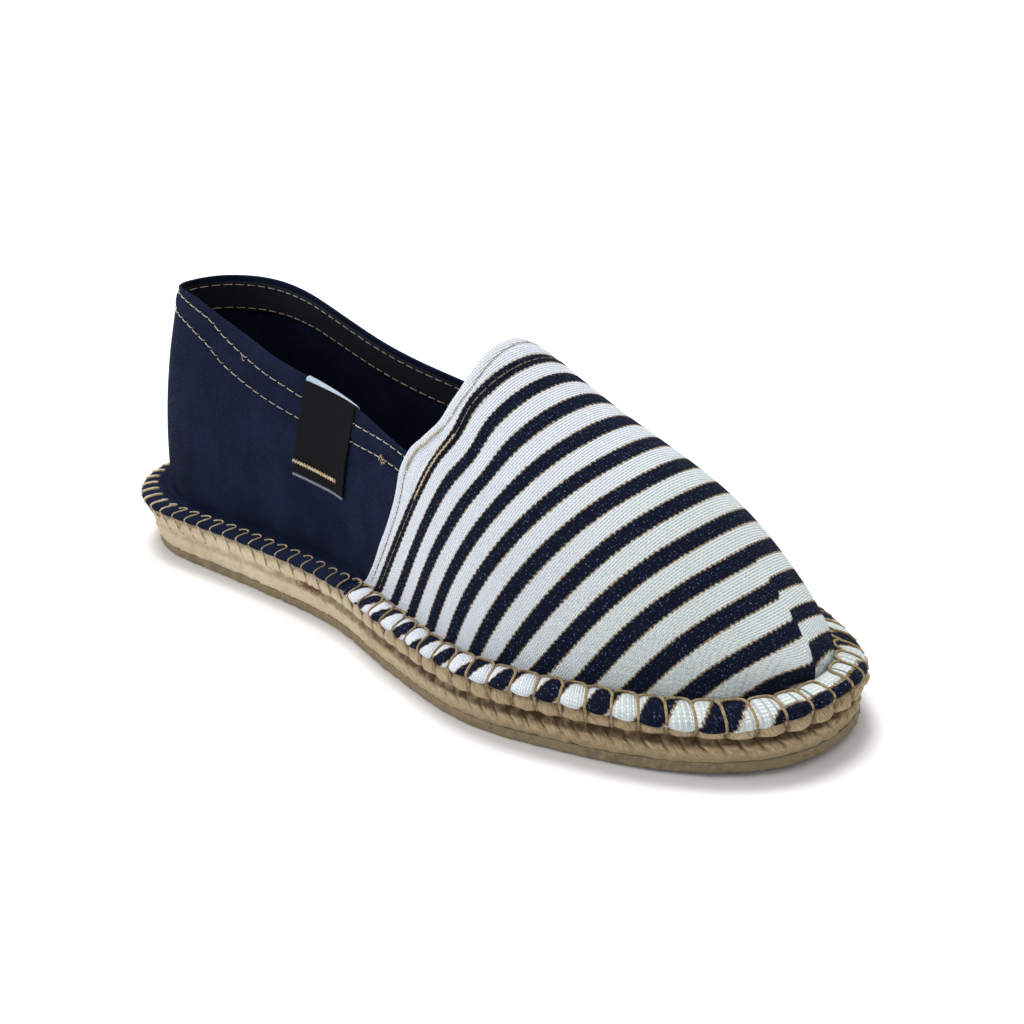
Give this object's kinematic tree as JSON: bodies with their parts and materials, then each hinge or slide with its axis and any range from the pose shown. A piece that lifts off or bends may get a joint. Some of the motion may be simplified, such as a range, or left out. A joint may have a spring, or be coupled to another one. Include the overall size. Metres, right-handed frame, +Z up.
{
  "type": "espadrille",
  "caption": "Slip-on espadrille for the right foot: striped canvas vamp, plain canvas quarter and collar tape on a plaited jute sole with a thin rubber outsole.",
  "frame": {"origin": "on the floor, under the middle of the shoe's length and width", "axes": "+X points to the toe, +Y to the inner side of the foot, +Z up"},
  "size_m": [0.2708, 0.0966, 0.0874],
  "materials": {
    "rubber": "matt natural rubber, slightly rough at its edge",
    "jute": "plaited jute in two rows, pale at the heel and tan at the toe",
    "insole_cloth": "plain woven lining over the jute",
    "canvas": "cotton canvas: vamp white with dark stripes, quarter plain dark blue",
    "tape": "black woven tape sewn inside the collar",
    "label": "black woven label folded over the collar, left bare"
  },
  "bodies": {
    "root": {"outsole": "rubber", "jute_sole": "jute", "insole": "insole_cloth", "upper": "canvas", "collar_tape": "tape", "side_label": "label"}
  },
  "joints": []
}
